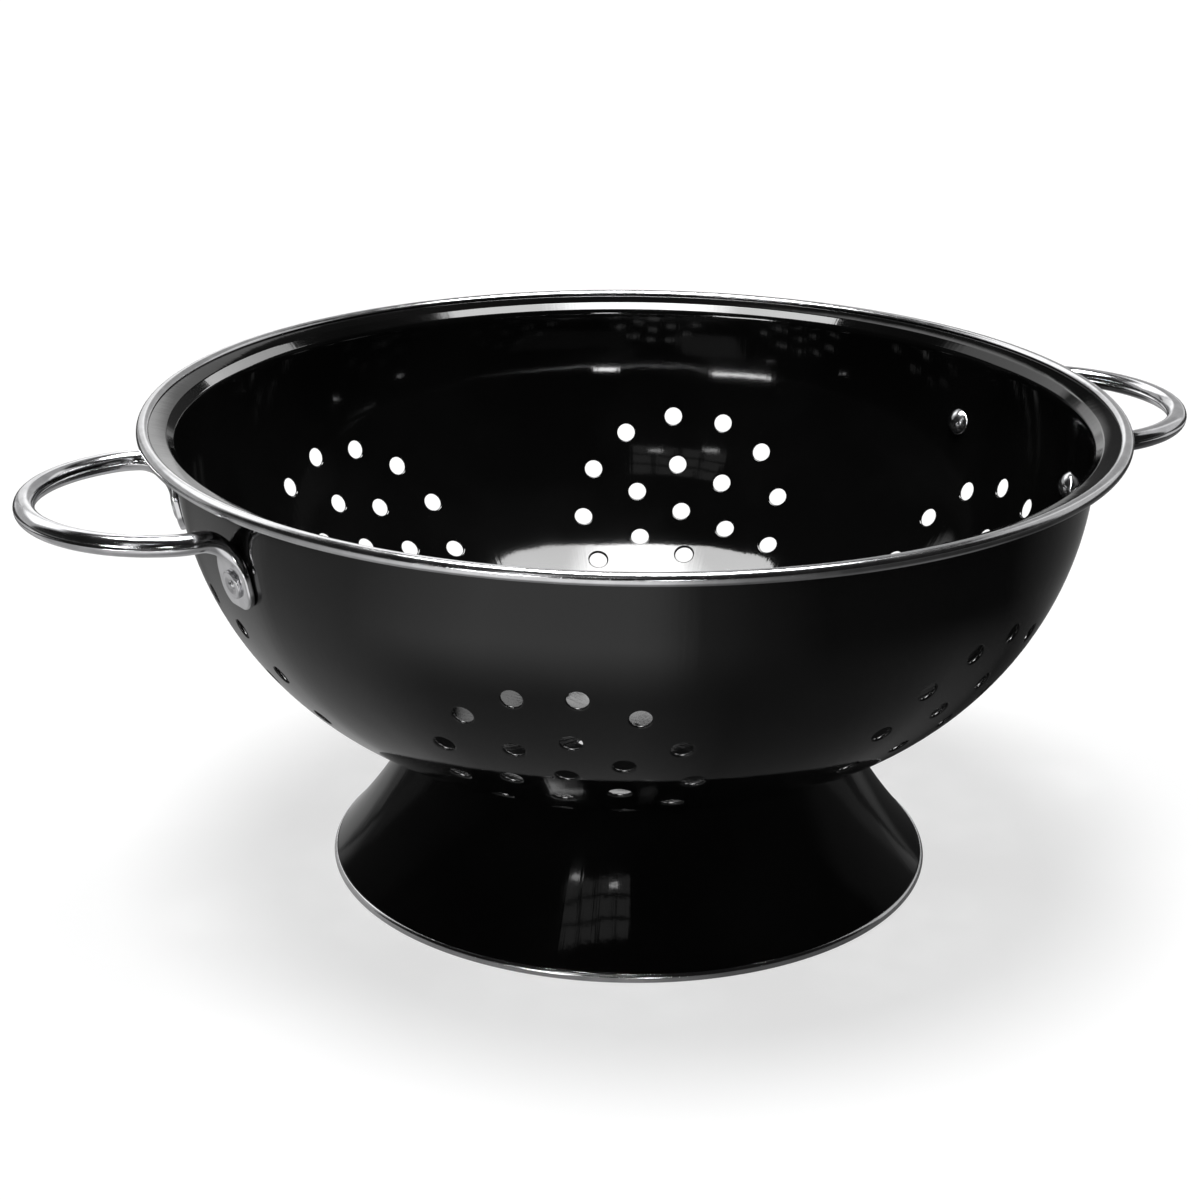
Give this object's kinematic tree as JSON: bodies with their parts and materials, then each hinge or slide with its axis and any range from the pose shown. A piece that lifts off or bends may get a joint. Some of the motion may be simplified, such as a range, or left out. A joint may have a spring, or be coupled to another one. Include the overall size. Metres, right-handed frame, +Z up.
{
  "type": "colander",
  "caption": "Deep round enamelled steel colander with clusters of drain holes, a flared foot ring, rolled stainless trims and riveted wire loop handles.",
  "frame": {"origin": "under the middle of the foot, on the surface that the foot stands on", "axes": "+X through the middle of the right handle, +Y to the rear rivets, +Z up"},
  "size_m": [0.3514, 0.28, 0.137],
  "materials": {
    "enamel": "glossy black vitreous enamel on sheet steel",
    "stainless_trim": "rolled and polished stainless strip",
    "chromed_wire": "bright chrome plate on steel wire",
    "rivet_metal": "bright plated steel"
  },
  "bodies": {
    "root": {"bowl": "enamel", "foot_ring": "enamel", "rim_trim": "stainless_trim", "foot_trim": "stainless_trim", "handle_left": "chromed_wire", "handle_right": "chromed_wire", "rivet_left_front": "rivet_metal", "rivet_left_rear": "rivet_metal", "rivet_right_front": "rivet_metal", "rivet_right_rear": "rivet_metal"}
  },
  "joints": []
}
